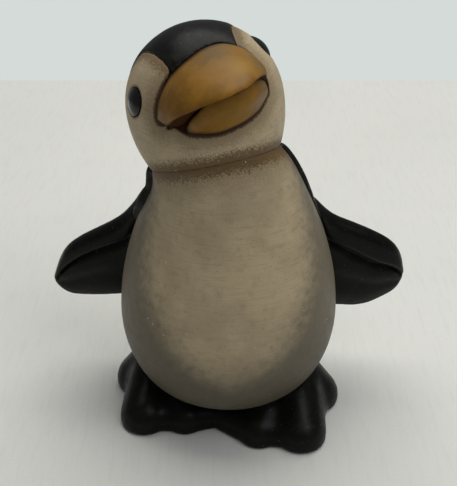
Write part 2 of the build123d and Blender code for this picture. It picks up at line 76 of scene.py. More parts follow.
# Places across the beak, and how far each lip is drawn up there, in millimetres
UPPER_LIP = ((-19, -14, -8, 0, 8, 13, 19), (-2.2, -2.0, 0.2, 1.9, 1.3, 0.0, -1.6))
LOWER_LIP = ((-15, -8, -2, 4, 9, 15), (0.6, 1.9, 2.9, 2.8, 2.0, 1.3))

# The upper beak's corner at the mouth's open end: how far to the side it is looked for, as a share,
# and the reach of its carving, in millimetres
CORNER_LEAN = 0.7
CORNER_REACH = 6.5

# Points closer than this are one point, and faces that look inwards by more than this are a hollow's
WELD_DISTANCE = 0.002 * MM
INWARD_FACING = -0.5

# Distances from a seam are measured up to this, in millimetres
SEAM_REACH = 6.0

# The finer of the two sizes of dents: its size and depth, as shares of the wider one's
FINE_DENT_SIZE = 0.3
FINE_DENT_DEPTH = 0.28

# What the finer dents add to the seed, and the detail of both
FINE_DENT_SHIFT = 3.7
DENT_DETAIL = 2.0

# The wings' creases: how much deeper they get, and the heights that count, in millimetres
CREASE_GAIN = 2.2
CREASE_LOW = -0.4
CREASE_HIGH = 0.08

# The coat's front edge: how much more it stands out on the right, and less low on the left, as shares
RIGHT_EDGE_GAIN = 1.8
LOW_LEFT_LOSS = 0.9

# Noise clouds vary about this value
CLOUD_MIDDLE = 0.5

# The colour sockets of a mix node, by number, since their names are those of its other sockets too
MIX_FIRST_COLOUR = 6
MIX_SECOND_COLOUR = 7
MIX_RESULT_COLOUR = 2

# The camera's focal length and the picture's longer side, in pixels, and its sensor, in millimetres
FOCAL_PIXELS = 921
PICTURE_HEIGHT = 486
SENSOR_WIDTH = 36.0

# The nearest distance that the camera sees, in metres
NEAREST_SEEN = 0.01

# The lamps: name, place, target, width and depth, and tint. Their powers are settings.
LAMPS = (
    ("overhead", (0.05, 0.32, 0.90), (0.0, 0.10, 0.0), (1.0, 0.8), (1.0, 0.99, 0.96)),
    ("window", (0.45, -0.40, 0.85), (0.0, 0.0, 0.06), (0.7, 0.6), (0.98, 0.99, 1.0)),
)


# Sizes and colours that a user would change

def colour(name, description, default):
    """A colour setting."""
    return FloatVectorProperty(
        name=name, description=description, subtype="COLOR", size=3, min=0.0, max=1.0, default=default
    )


def length(name, description, default):
    """A length setting, in metres."""
    return FloatProperty(name=name, description=description, unit="LENGTH", min=0.0, default=default)


def power(name, description, default):
    """A lamp's power setting, in watts."""
    return FloatProperty(name=name, description=description, unit="POWER", min=0.0, default=default)


class FigurineBodySettings(bpy.types.PropertyGroup):
    """Sizes of the cast and hand-worked surfaces."""

    body_step: length("Body step", "Grid step of the body and its coat", 0.68 * MM)
    head_step: length("Head step", "Grid step of the head and its cap", 0.44 * MM)
    beak_step: length("Beak step", "Grid step of the beak", 0.26 * MM)
    wing_step: length("Wing step", "Grid step of the wings and the tail", 0.36 * MM)
    feet_step: length("Feet step", "Grid step of the feet", 0.48 * MM)
    neck_tuck: length("Neck tuck", "How far the neck's rim stands inside the head", 0.7 * MM)
    coat_edge: length("Coat edge", "How far the coat's front edge stands out beside the neck", 0.9 * MM)
    coat_wrap: length("Coat wrap", "How far the coat reaches round the neck's right side", 5.0 * MM)
    coat_rise: length("Coat rise", "How far the coat reaches up under the head's right side", 2.0 * MM)
    wing_tuck: length("Wing tuck", "How far the right wing's upper root lies closer to the body", 1.7 * MM)
    lip_round: length("Lip corner", "How far the upper beak is drawn up at the mouth's open end", 2.6 * MM)
    work_depth: length("Tool marks", "Depth of the faint unevenness of the surfaces", 0.12 * MM)
    work_size: length("Tool mark size", "Distance between the dents of the surfaces", 9.0 * MM)
    seed: IntProperty(name="Seed", description="Seed of the unevenness", default=7, min=0)


class FigurinePaintSettings(bpy.types.PropertyGroup):
    """Colours of the paints and of the fixings."""

    cream: colour("Cream", "Pale paint of the belly and the face", (0.47, 0.375, 0.235))
    # Grey-brown paint of the flanks, also the colour of the painted shade on the flanks and the underside
    grey_and_shade: colour("Shade", "Grey-brown shading of the flanks", (0.116, 0.099, 0.069))
    wash: colour("Wash", "Dark brown wash in seams and around the beak", (0.085, 0.046, 0.013))
    rust: colour("Rust", "Red-brown wash beside the wings", (0.15, 0.070, 0.022))
    nick: colour("Nick", "Small pale chips in the cream", (0.72, 0.70, 0.64))
    outline: colour("Outline", "Dark line around the beak", (0.048, 0.024, 0.008))
    # Dark red-brown paint between the beak's halves, which is partly painted shade in the gap
    mouth: colour("Mouth", "Dark red-brown between the beak's halves", (0.030, 0.010, 0.003))
    black: colour("Black", "Satin paint of the coat, cap, wings and feet", (0.0040, 0.0042, 0.0035))
    dust: colour("Dry brush", "Grey-brown dry brush on high spots of the black", (0.011, 0.0105, 0.0075))
    fleck: colour("Fleck", "Small pale chips in the black", (0.20, 0.18, 0.15))
    amber: colour("Amber", "Middle colour of the beak", (0.250, 0.116, 0.012))
    # Light amber is also the colour of the painted highlights on the beak
    amber_light: colour("Light amber", "Bright patches of the beak", (0.27, 0.147, 0.018))
    # Painted shade at the beak's edges, along its lips and on its left side
    amber_dark: colour("Dark amber", "Shaded edges of the beak", (0.078, 0.034, 0.007))
    # Painted sheen: the greyed tan stands for the reflection of light on the beak's ridge and ends
    tan: colour("Tan", "Greyed ridge and ends of the beak", (0.135, 0.094, 0.040))
    lip_line: colour("Lip line", "Dark line along the beak's seams", (0.030, 0.012, 0.004))
    # Dark red-brown paint inside the mouth, which is partly painted shade under the upper half
    lip_inside: colour("Inside of the lips", "Dark red-brown inside the mouth", (0.042, 0.015, 0.004))
    bead: colour("Bead", "Glossy black of the eyes", (0.004, 0.004, 0.004))
    bead_haze: colour("Bead haze", "Faint grey haze on the eyes", (0.02, 0.02, 0.02))
    wood: colour("Wood", "Pale wood of the dowels", (0.50, 0.34, 0.18))
    wood_grain: colour("Wood grain", "Darker grain of the dowels", (0.36, 0.22, 0.10))
    wood_pore: colour("Wood pores", "Dark pores of the dowels", (0.20, 0.11, 0.05))
    steel: colour("Steel", "Bright steel of the wing pins", (0.46, 0.46, 0.45))
    steel_dull: colour("Dull steel", "Dulled patches of the wing pins", (0.30, 0.29, 0.27))
    rubber: colour("Rubber", "Grey rubber of the stopper", (0.035, 0.035, 0.034))
    rubber_chalk: colour("Rubber chalk", "Chalky patches of the stopper", (0.085, 0.083, 0.078))
    felt: colour("Felt", "Green-grey felt of the pads", (0.028, 0.036, 0.030))
    felt_fibre: colour("Felt fibres", "Paler fibres of the pads", (0.075, 0.088, 0.075))


class FigurineStageSettings(bpy.types.PropertyGroup):
    """Floor, light and camera."""

    floor: colour("Floor", "Pale cloth that the figurine stands on", (0.74, 0.74, 0.70))
    weave: colour("Weave", "Darker threads of the cloth", (0.45, 0.44, 0.41))
    # Painted shade of faint folds in the cloth
    fold_shade: colour("Folds", "Faint folds of the cloth", (0.52, 0.52, 0.49))
    floor_reach: length("Floor reach", "Half width of the floor", 1.6)
    floor_end: length("Floor end", "Distance behind the figurine at which the floor ends", 0.338)
    wall: colour("Backdrop", "Pale room seen behind the floor", (0.66, 0.71, 0.69))
    room: colour("Room light", "Tint of the room's light", (0.93, 0.97, 1.0))
    ambient: FloatProperty(name="Ambient light", description="Strength of the room's light", default=0.17)
    overhead: power("Overhead light", "Power of the large lamp", 7.4)
    window: power("Window light", "Power of the side lamp", 2.8)
    camera_place: FloatVectorProperty(
        name="Camera place",
        description="Where the camera stands",
        subtype="TRANSLATION",
        unit="LENGTH",
        size=3,
        default=(0.0, -0.2998, 0.2575),
    )
    camera_fall: FloatProperty(
        name="Camera fall",
        description="Angle that the camera looks down",
        subtype="ANGLE",
        default=math.radians(32),
    )
    camera_lens: FloatProperty(
        name="Camera lens",
        description="Focal length, in millimetres",
        unit="CAMERA",
        default=FOCAL_PIXELS * SENSOR_WIDTH / PICTURE_HEIGHT,
    )


# Meshes

def surface_of(*names):
    """A search tree over the surfaces of some CAD nodes together."""
    points = []
    faces = []
    for name in names:
        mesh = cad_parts[name].data
        start = len(points)
        points.extend(vertex.co[:] for vertex in mesh.vertices)
        faces.extend(tuple(start + index for index in face.vertices) for face in mesh.polygons)
    return BVHTree.FromPolygons(points, faces)


def closed_copy(name, hollow=False):
    """A copy of a CAD node as one closed mesh, without the hollow of a casting."""
    work = bmesh.new()
    work.from_mesh(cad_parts[name].data)
    bmesh.ops.remove_doubles(work, verts=work.verts, dist=WELD_DISTANCE)
    if hollow:
        low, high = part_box(name)
        middle = (low + high) / 2
        inner = []
        for face in work.faces:
            ray = (face.calc_center_median() - middle).normalized()
            if face.normal.dot(ray) < INWARD_FACING:
                inner.append(face)
        bmesh.ops.delete(work, geom=inner, context="FACES")
        edges = [edge for edge in work.edges if edge.is_boundary]
        bmesh.ops.holes_fill(work, edges=edges, sides=0)
    bmesh.ops.triangulate(work, faces=work.faces)
    bmesh.ops.recalc_face_normals(work, faces=work.faces)
    mesh = bpy.data.meshes.new(name)
    work.to_mesh(mesh)
    work.free()
    return mesh


def plain_mesh(thing):
    """The mesh of an object with its modifiers, on its own."""
    graph = bpy.context.evaluated_depsgraph_get()
    graph.update()
    return bpy.data.meshes.new_from_object(thing.evaluated_get(graph), depsgraph=graph)


def regrid(mesh, step):
    """The same closed form on an even grid."""
    thing = bpy.data.objects.new("regrid", mesh)
    bpy.context.scene.collection.objects.link(thing)
    remesh = thing.modifiers.new("grid", "REMESH")
    remesh.mode = "VOXEL"
    remesh.voxel_size = step
    result = plain_mesh(thing)
    bpy.data.objects.remove(thing)
    bpy.data.meshes.remove(mesh)
    return result


class Grid:
    """Points of a mesh in millimetres, with what sculpting needs."""

    def __init__(self, mesh):
        """Reads the points, and the two ends of each edge both ways round."""
        self.mesh = mesh
        count = len(mesh.vertices)
        flat = np.empty(count * 3)
        mesh.vertices.foreach_get("co", flat)
        self.points = flat.reshape(count, 3) / MM
        ends = np.empty(len(mesh.edges) * 2, dtype=np.int64)
        mesh.edges.foreach_get("vertices", ends)
        ends = ends.reshape(-1, 2)
        self.here = np.concatenate([ends[:, 0], ends[:, 1]])
        self.there = np.concatenate([ends[:, 1], ends[:, 0]])
        self.degree = np.maximum(np.bincount(self.here, minlength=count), 1)

    def around(self, values):
        """The mean of each point's neighbours."""
        if values.ndim == 1:
            return np.bincount(self.here, values[self.there], len(values)) / self.degree
        return np.stack([self.around(values[:, axis]) for axis in range(values.shape[1])], axis=1)

    def smooth(self, rounds, share=0.6, hold=None):
        """Rounds the form off, less where hold is near 1."""
        weight = share if hold is None else (share * (1 - hold))[:, None]
        for _ in range(rounds):
            self.points = self.points + weight * (self.around(self.points) - self.points)

    def fill(self, rounds, hold, share=0.7, hill_share=0.12):
        """Fills valleys in, and lowers hills only a little."""
        for _ in range(rounds):
            pull = self.around(self.points) - self.points
            normal = self.normals()
            out = np.einsum("ij,ij->i", pull, normal)
            out = np.where(out > 0, out, hill_share * out)
            self.points = self.points + (share * (1 - hold) * out)[:, None] * normal

    def soften(self, values, rounds):
        """Values blurred over the surface."""
        for _ in range(rounds):
            values = (values + self.around(values)) / 2
        return values

    def normals(self):
        """The outward direction at each point."""
        self.store()
        flat = np.empty(len(self.points) * 3)
        self.mesh.vertices.foreach_get("normal", flat)
        return flat.reshape(-1, 3)

    def bend(self, rounds):
        """How far each point stands out of its neighbourhood, in millimetres."""
        wide = self.soften(self.points, rounds)
        return np.einsum("ij,ij->i", self.points - wide, self.normals())

    def distance(self, tree, limit):
        """Distance of each point from a surface, in millimetres, up to a limit."""
        found = np.full(len(self.points), limit)
        for index, point in enumerate(self.points * MM):
            hit = tree.find_nearest(point, limit * MM)
            if hit[0] is not None:
                found[index] = hit[3] / MM
        return found

    def record(self, name, values):
        """Stores a value for each point on the mesh."""
        layer = self.mesh.attributes.get(name) or self.mesh.attributes.new(name, "FLOAT", "POINT")
        layer.data.foreach_set("value", np.ascontiguousarray(values, dtype=np.float32))

    def store(self):
        """Writes the points back to the mesh."""
        self.mesh.vertices.foreach_set("co", (self.points * MM).ravel())
        self.mesh.update()


def fade(values, start, end):
    """A smooth step from 0 at the start to 1 at the end."""
    share = np.clip((values - start) / (end - start), 0, 1)
    return share * share * (3 - 2 * share)


def beak_directions():
    """The beak's own side and up, with the side at +X for a beak that points to -Y."""
    side = np.array((math.cos(FACE_TURN), math.sin(FACE_TURN), 0.0))
    forward = np.array((math.sin(FACE_TURN), -math.cos(FACE_TURN), math.tan(FACE_LIFT)))
    up = np.cross(forward / np.linalg.norm(forward), side)
    return (
        side * math.cos(BEAK_TILT) + up * math.sin(BEAK_TILT),
        up * math.cos(BEAK_TILT) - side * math.sin(BEAK_TILT),
    )


def corner_rise(points):
    """How the upper beak's corner at the mouth's open end is drawn up, in millimetres."""
    side, up = beak_directions()
    beak = np.array([vertex.co[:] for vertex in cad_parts["upper_beak"].data.vertices]) / MM
    corner = beak[np.argmin(beak @ (up + CORNER_LEAN * side))]
    share = 1 - fade(np.linalg.norm(points - corner, axis=1), start=0.0, end=CORNER_REACH)
    return bpy.context.scene.figurine_body.lip_round / MM * share[:, None] * up


def hump(values, middle, reach, top=1.0):
    """A smooth hump about a middle."""
    return top * np.exp(-(((values - middle) / reach) ** 2))


def scaled(colour, share):
    """A colour made darker or lighter."""
    return [share * part for part in colour]


# Node trees

def joined(tree, socket, value):
    """Links a socket to another one, or sets its constant."""
    if isinstance(value, bpy.types.NodeSocket):
        tree.links.new(value, socket)
    elif socket.type == "RGBA" and len(value) == 3:
        socket.default_value = (*value, 1.0)
    else:
        socket.default_value = value


class Paint:
    """One material, made node by node."""

    def __init__(self, name):
        """Starts the material, which reads places in the piece's own coordinates."""
        self.material = bpy.data.materials.new(name)
        self.material.use_nodes = True
        self.tree = self.material.node_tree
        self.shader = self.tree.nodes["Principled BSDF"]
        self.place = self.tree.nodes.new("ShaderNodeTexCoord").outputs["Object"]

    def math(self, operation, *values):
        """The result of one operation on values."""
        node = self.tree.nodes.new("ShaderNodeMath")
        node.operation = operation
        for socket, value in zip(node.inputs, values):
            joined(self.tree, socket, value)
        return node.outputs[0]

    def attribute(self, name):
        """A value that the mesh carries."""
        node = self.tree.nodes.new("ShaderNodeAttribute")
        node.attribute_name = name
        return node.outputs["Fac"]

    def noise(self, size, stretch=(1, 1, 1), detail=3.0, roughness=0.55, shift=0.0):
        """Cloudy values about 0.5, with clouds of a size in metres."""
        mapping = self.tree.nodes.new("ShaderNodeMapping")
        mapping.inputs["Location"].default_value = (shift, shift, shift)
        mapping.inputs["Scale"].default_value = [1 / (size * way) for way in stretch]
        self.tree.links.new(self.place, mapping.inputs["Vector"])
        node = self.tree.nodes.new("ShaderNodeTexNoise")
        self.tree.links.new(mapping.outputs[0], node.inputs["Vector"])
        node.inputs["Scale"].default_value = 1.0
        node.inputs["Detail"].default_value = detail
        node.inputs["Roughness"].default_value = roughness
        return node.outputs["Fac"]

    def height(self):
        """The height of the point shown, in metres."""
        node = self.tree.nodes.new("ShaderNodeSeparateXYZ")
        self.tree.links.new(self.place, node.inputs[0])
        return node.outputs["Z"]

    def band(self, value, start, end, low=0.0, high=1.0):
        """A smooth step from low at the start to high at the end."""
        node = self.tree.nodes.new("ShaderNodeMapRange")
        node.interpolation_type = "SMOOTHSTEP"
        for socket, part in zip(node.inputs, (value, start, end, low, high)):
            joined(self.tree, socket, part)
        return node.outputs[0]

    def shaken(self, value, clouds, amount):
        """A value pushed up and down by clouds."""
        return self.math("MULTIPLY_ADD", self.math("SUBTRACT", clouds, CLOUD_MIDDLE), amount, value)

    def ragged(self, name, start, end, spread, grain):
        """A share that fades out with a distance, with an uneven edge."""
        shaken = self.shaken(self.attribute(name), grain, spread)
        return self.band(shaken, start, end, low=1.0, high=0.0)

    def blend(self, first, second, first_share):
        """Two clouds laid over each other."""
        return self.math("MULTIPLY_ADD", first, first_share, self.times(second, 1 - first_share))

    def weaker(self, share, by):
        """A share made weaker."""
        return self.times(share, by)

    def times(self, *values):
        """Shares multiplied together."""
        result = values[0]
        for value in values[1:]:
            result = self.math("MULTIPLY", result, value)
        return result

    def most(self, *values):
        """The greatest of some shares."""
        result = values[0]
        for value in values[1:]:
            result = self.math("MAXIMUM", result, value)
        return result

    def mix(self, share, first, second):
        """Two colours mixed, through the node's two colour sockets."""
        node = self.tree.nodes.new("ShaderNodeMix")
        node.data_type = "RGBA"
        joined(self.tree, node.inputs["Factor"], share)
        joined(self.tree, node.inputs[MIX_FIRST_COLOUR], first)
        joined(self.tree, node.inputs[MIX_SECOND_COLOUR], second)
        return node.outputs[MIX_RESULT_COLOUR]

    def bump(self, height, depth, under=None):
        """Fine relief, with its depth in metres."""
        node = self.tree.nodes.new("ShaderNodeBump")
        node.inputs["Distance"].default_value = depth
        self.tree.links.new(height, node.inputs["Height"])
        if under is not None:
            self.tree.links.new(under, node.inputs["Normal"])
        return node.outputs[0]

    def finish(self, base, roughness, normal=None, **others):
        """Sets the surface and gives the material."""
        joined(self.tree, self.shader.inputs["Base Color"], base)
        joined(self.tree, self.shader.inputs["Roughness"], roughness)
        if normal is not None:
            joined(self.tree, self.shader.inputs["Normal"], normal)
        for name, value in others.items():
            joined(self.tree, self.shader.inputs[name.replace("_", " ")], value)
        return self.material


def worked_surface():
    """A node tree that gives a surface the faint dents of hand work, then its paint."""
    tree = bpy.data.node_groups.new("worked surface", "GeometryNodeTree")
    face = tree.interface
    face.new_socket("Geometry", in_out="INPUT", socket_type="NodeSocketGeometry")
    face.new_socket("Depth", in_out="INPUT", socket_type="NodeSocketFloat")
    face.new_socket("Size", in_out="INPUT", socket_type="NodeSocketFloat")
    face.new_socket("Seed", in_out="INPUT", socket_type="NodeSocketInt")
    face.new_socket("Paint", in_out="INPUT", socket_type="NodeSocketMaterial")
    face.new_socket("Geometry", in_out="OUTPUT", socket_type="NodeSocketGeometry")
    nodes = tree.nodes
    start = nodes.new("NodeGroupInput")
    end = nodes.new("NodeGroupOutput")

    def value(operation, *parts):
        node = nodes.new("ShaderNodeMath")
        node.operation = operation
        for socket, part in zip(node.inputs, parts):
            joined(tree, socket, part)
        return node.outputs[0]

    def dents(size_share, shift):
        noise = nodes.new("ShaderNodeTexNoise")
        noise.noise_dimensions = "4D"
        noise.inputs["Detail"].default_value = DENT_DETAIL
        size = value("MULTIPLY", start.outputs["Size"], size_share)
        tree.links.new(value("DIVIDE", 1.0, size), noise.inputs["Scale"])
        tree.links.new(value("ADD", start.outputs["Seed"], shift), noise.inputs["W"])
        return value("SUBTRACT", noise.outputs["Fac"], CLOUD_MIDDLE)

    free = nodes.new("GeometryNodeInputNamedAttribute")
    free.data_type = "FLOAT"
    free.inputs["Name"].default_value = "free"
    wide = dents(size_share=1.0, shift=0.0)
    fine = dents(FINE_DENT_SIZE, FINE_DENT_SHIFT)
    both = value("MULTIPLY_ADD", fine, FINE_DENT_DEPTH, wide)
    offset = value("MULTIPLY", value("MULTIPLY", both, start.outputs["Depth"]), free.outputs["Attribute"])
    normal = nodes.new("GeometryNodeInputNormal")
    scale = nodes.new("ShaderNodeVectorMath")
    scale.operation = "SCALE"
    tree.links.new(normal.outputs[0], scale.inputs[0])
    tree.links.new(offset, scale.inputs["Scale"])
    place = nodes.new("GeometryNodeSetPosition")
    real = nodes.new("GeometryNodeRealizeInstances")
    paint = nodes.new("GeometryNodeSetMaterial")
    tree.links.new(start.outputs["Geometry"], place.inputs["Geometry"])
    tree.links.new(scale.outputs[0], place.inputs["Offset"])
    tree.links.new(place.outputs[0], real.inputs[0])
    tree.links.new(real.outputs[0], paint.inputs["Geometry"])
    tree.links.new(start.outputs["Paint"], paint.inputs["Material"])
    tree.links.new(paint.outputs[0], end.inputs[0])
    return tree


def worked_piece(grid, name, node, material, depth_share=1.0):
    """Turns a sculpted grid into a finished piece in place of its CAD node."""
    settings = bpy.context.scene.figurine_body
    grid.store()
    tree = bpy.data.node_groups.get("worked surface") or worked_surface()
    ids = {item.name: item.identifier for item in tree.interface.items_tree if item.in_out == "INPUT"}
    rough = bpy.data.objects.new(name + "_rough", grid.mesh)
    bpy.context.scene.collection.objects.link(rough)
    marks = rough.modifiers.new("marks", "NODES")
    marks.node_group = tree
    marks[ids["Depth"]] = depth_share * settings.work_depth / CLOUD_MIDDLE
    marks[ids["Size"]] = settings.work_size
    marks[ids["Seed"]] = settings.seed
    marks[ids["Paint"]] = material
    mesh = plain_mesh(rough)
    bpy.data.objects.remove(rough)
    mesh.name = name
    mesh.polygons.foreach_set("use_smooth", np.ones(len(mesh.polygons), dtype=bool))
    piece = bpy.data.objects.new(name, mesh)
    bpy.context.scene.collection.objects.link(piece)
    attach(piece, "root")
    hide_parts(node)
    return piece


def painted_node(name, material):
    """Gives a CAD node whose shape stays its finish."""
    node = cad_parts[name]
    for slot in node.material_slots:
        slot.material = material
    if not node.material_slots:
        node.data.materials.append(material)


# Paints

def cream_base(paint, colours, cloud, mottle, streak):
    """Cream paint with soft clouds, grey mottling and fine brush streaks."""
    base = paint.mix(paint.band(cloud, start=0.38, end=0.66), colours.cream, scaled(colours.cream, 0.84))
    base = paint.mix(paint.band(mottle, start=0.48, end=0.78, high=0.22), base, colours.grey_and_shade)
    return paint.mix(paint.band(streak, start=0.50, end=0.70, high=0.36), base, scaled(colours.cream, 0.60))


def shaded_flanks(paint, colours, base, mottle, grain):
    """Grey paint of the body's flanks, partly painted shade, and painted shade that darkens its underside.
    """
    side = paint.shaken(paint.attribute("side"), mottle, amount=17.0)
    side = paint.shaken(side, grain, amount=10.0)
    base = paint.mix(paint.band(side, start=-15.0, end=15.0, high=0.88), base, colours.grey_and_shade)
    # Painted shade: the body gets darker towards the bottom, under the belly
    low = paint.band(paint.height(), start=57 * MM, end=24 * MM, high=0.9)
    return paint.mix(low, base, scaled(colours.grey_and_shade, 0.8))


def body_wash(paint, stipple):
    """Share of brown wash in the body's seams."""
    return paint.most(
        paint.ragged("from_head", start=2.2, end=6.4, spread=14.0, grain=stipple),
        paint.weaker(paint.ragged("from_head", start=3.0, end=13.0, spread=17.0, grain=stipple), by=0.40),
        paint.weaker(paint.ragged("from_wing", start=0.2, end=2.4, spread=4.0, grain=stipple), by=0.85),
        paint.weaker(paint.ragged("from_coat", start=0.2, end=2.4, spread=4.0, grain=stipple), by=0.8),
        paint.weaker(paint.ragged("from_feet", start=0.3, end=2.2, spread=3.0, grain=stipple), by=0.75),
    )


def head_wash(paint, stipple):
    """Share of brown wash in the head's seams and around the beak."""
    return paint.most(
        paint.ragged("from_body", start=2.0, end=5.6, spread=12.0, grain=stipple),
        paint.attribute("mouth"),
        paint.ragged("from_beak", start=0.5, end=2.2, spread=3.4, grain=stipple),
        paint.weaker(paint.ragged("from_beak", start=1.8, end=7.5, spread=13.0, grain=stipple), by=0.5),
        paint.weaker(paint.ragged("from_cap", start=1.2, end=5.0, spread=9.0, grain=stipple), by=0.85),
        paint.weaker(paint.ragged("from_eye", start=0.4, end=1.5, spread=0.8, grain=stipple), by=0.75),
    )


def cream_paint(name, is_body):
    """Cream paint, softly mottled and shaded, with a stippled brown wash in the seams."""
    colours = bpy.context.scene.figurine_paint
    paint = Paint(name)
    cloud = paint.noise(15 * MM)
    mottle = paint.noise(3.4 * MM, detail=4.0)
    streak = paint.noise(1.5 * MM, stretch=(7.0, 7.0, 0.30), detail=3.0, shift=3.0)
    grain = paint.noise(0.62 * MM, detail=2.0, roughness=0.75)
    speck = paint.noise(0.5 * MM, detail=1.0, shift=9.0)
    stipple = paint.blend(grain, mottle, first_share=0.8)
    base = cream_base(paint, colours, cloud, mottle, streak)
    if is_body:
        base = shaded_flanks(paint, colours, base, mottle, grain)
        rust = paint.ragged("from_wing", start=0.5, end=3.6, spread=5.0, grain=stipple)
        base = paint.mix(paint.weaker(rust, by=0.55), base, colours.rust)
        wash = body_wash(paint, stipple)
    else:
        wash = head_wash(paint, stipple)
    specks = paint.times(paint.band(speck, start=0.64, end=0.71), paint.band(grain, start=0.4, end=0.6))
    base = paint.mix(paint.weaker(specks, by=0.5), base, scaled(colours.grey_and_shade, 0.5))
    wash_colour = paint.mix(mottle, colours.wash, scaled(colours.wash, 1.6))
    base = paint.mix(paint.weaker(wash, by=0.93), base, wash_colour)
    nick = paint.noise(0.9 * MM, detail=0.0, shift=13.0)
    nick = paint.band(nick, start=0.845, end=0.86, high=0.8)
    base = paint.mix(paint.times(nick, paint.band(cloud, start=0.56, end=0.60)), base, colours.nick)
    shine = 0.28
    if not is_body:
        outline = paint.ragged("from_beak", start=0.5, end=1.5, spread=1.2, grain=stipple)
        base = paint.mix(outline, base, colours.outline)
        # Dark red-brown paint in the gap between the beak's halves, partly painted shade
        base = paint.mix(paint.attribute("mouth"), base, colours.mouth)
        shine = paint.band(paint.attribute("mouth"), start=0.0, end=1.0, low=shine, high=0.02)
    rough = paint.band(mottle, start=0.2, end=0.8, low=0.44, high=0.58)
    relief = paint.bump(streak, depth=0.07 * MM)
    relief = paint.bump(grain, depth=0.04 * MM, under=relief)
    return paint.finish(base, rough, relief, Specular_IOR_Level=shine)


def black_paint(name):
    """Satin black paint with a faint dry brush on its high spots."""
    colours = bpy.context.scene.figurine_paint
    paint = Paint(name)
    cloud = paint.noise(11 * MM)
    mottle = paint.noise(2.6 * MM, detail=4.0)
    grain = paint.noise(0.6 * MM, detail=2.0, shift=2.0)
    high = paint.shaken(paint.attribute("high"), mottle, amount=0.05)
    worn = paint.band(high, start=0.012, end=0.07, high=0.8)
    brushed = paint.times(paint.band(cloud, start=0.42, end=0.66), paint.band(mottle, start=0.42, end=0.66))
    base = paint.mix(paint.most(worn, paint.weaker(brushed, by=0.22)), colours.black, colours.dust)
    fleck = paint.noise(0.55 * MM, detail=0.0, shift=5.0)
    base = paint.mix(paint.band(fleck, start=0.83, end=0.85, high=0.5), base, colours.fleck)
    rough = paint.band(mottle, start=0.25, end=0.75, low=0.28, high=0.40)
    relief = paint.bump(mottle, depth=0.08 * MM)
    relief = paint.bump(grain, depth=0.02 * MM, under=relief)
    return paint.finish(base, rough, relief, Specular_IOR_Level=0.11)


def amber_paint(name):
    """Semi-gloss amber of the beak, shaded brown towards its edges and its mouth."""
    colours = bpy.context.scene.figurine_paint
    paint = Paint(name)
    cloud = paint.noise(9 * MM)
    mottle = paint.noise(2.4 * MM, stretch=(1.6, 1.0, 0.7), detail=4.0)
    grain = paint.noise(0.5 * MM, detail=2.0, shift=4.0)
    edge_grain = paint.blend(grain, mottle, first_share=0.4)
    base = paint.mix(paint.band(cloud, start=0.40, end=0.66), colours.amber, scaled(colours.amber, 0.72))
    base = paint.mix(paint.band(mottle, start=0.50, end=0.75, high=0.45), base, colours.amber_light)
    broken = paint.band(mottle, start=0.15, end=0.6, low=0.55, high=1.0)
    # Painted sheen from the tan share, then painted highlights from the light share
    base = paint.mix(paint.times(paint.attribute("tan"), broken), base, colours.tan)
    base = paint.mix(paint.times(paint.attribute("light"), broken), base, colours.amber_light)
    # Painted shade at the beak's edges and lips, from the dark share
    dark = paint.shaken(paint.attribute("dark"), edge_grain, amount=0.5)
    base = paint.mix(paint.band(dark, start=0.15, end=0.85, high=0.85), base, colours.amber_dark)
    lips = paint.ragged("from_lips", start=0.9, end=2.0, spread=0.8, grain=edge_grain)
    line = paint.most(
        paint.ragged("from_head", start=0.6, end=1.9, spread=1.1, grain=edge_grain),
        paint.weaker(lips, by=0.85),
    )
    base = paint.mix(line, base, colours.lip_line)
    # Dark red-brown paint on the faces that look into the mouth, partly painted shade
    inner = paint.attribute("inner")
    base = paint.mix(inner, base, colours.lip_inside)
    rough = paint.band(mottle, start=0.25, end=0.75, low=0.38, high=0.50)
    rough = paint.most(rough, paint.weaker(inner, by=0.8))
    relief = paint.bump(mottle, depth=0.07 * MM)
    relief = paint.bump(grain, depth=0.02 * MM, under=relief)
    shine = paint.band(inner, start=0.0, end=1.0, low=0.18, high=0.04)
    return paint.finish(base, rough, relief, Specular_IOR_Level=shine)


def bead_paint(name):
    """Glossy black bead with fine wiping marks."""
    colours = bpy.context.scene.figurine_paint
    paint = Paint(name)
    haze = paint.noise(1.6 * MM, detail=3.0)
    line = paint.noise(0.5 * MM, stretch=(4.0, 1.0, 1.0), shift=1.0)
    base = paint.mix(paint.band(haze, start=0.5, end=0.8, high=0.5), colours.bead, colours.bead_haze)
    rough = paint.band(haze, start=0.3, end=0.7, low=0.12, high=0.22)
    return paint.finish(base, rough, paint.bump(line, depth=0.008 * MM), Specular_IOR_Level=0.36)


def dowel_wood(name):
    """Pale turned wood with grain along its length."""
    colours = bpy.context.scene.figurine_paint
    paint = Paint(name)
    grain = paint.noise(0.8 * MM, stretch=(1.0, 1.0, 9.0), detail=5.0)
    pore = paint.noise(0.25 * MM, stretch=(1.0, 1.0, 14.0), detail=2.0, shift=2.0)
    base = paint.mix(paint.band(grain, start=0.3, end=0.7), colours.wood, colours.wood_grain)
    base = paint.mix(paint.band(pore, start=0.6, end=0.75, high=0.6), base, colours.wood_pore)
    rough = paint.band(pore, start=0.3, end=0.7, low=0.55, high=0.75)
    return paint.finish(base, rough, paint.bump(pore, depth=0.05 * MM))


def pin_steel(name):
    """Drawn steel with fine lines and a little dulling."""
    colours = bpy.context.scene.figurine_paint
    paint = Paint(name)
    line = paint.noise(0.15 * MM, stretch=(30.0, 1.0, 1.0), detail=2.0)
    dull = paint.noise(1.2 * MM, detail=4.0)
    base = paint.mix(paint.band(dull, start=0.4, end=0.7), colours.steel, colours.steel_dull)
    rough = paint.band(dull, start=0.3, end=0.7, low=0.24, high=0.42)
    return paint.finish(base, rough, paint.bump(line, depth=0.01 * MM), Metallic=1.0)


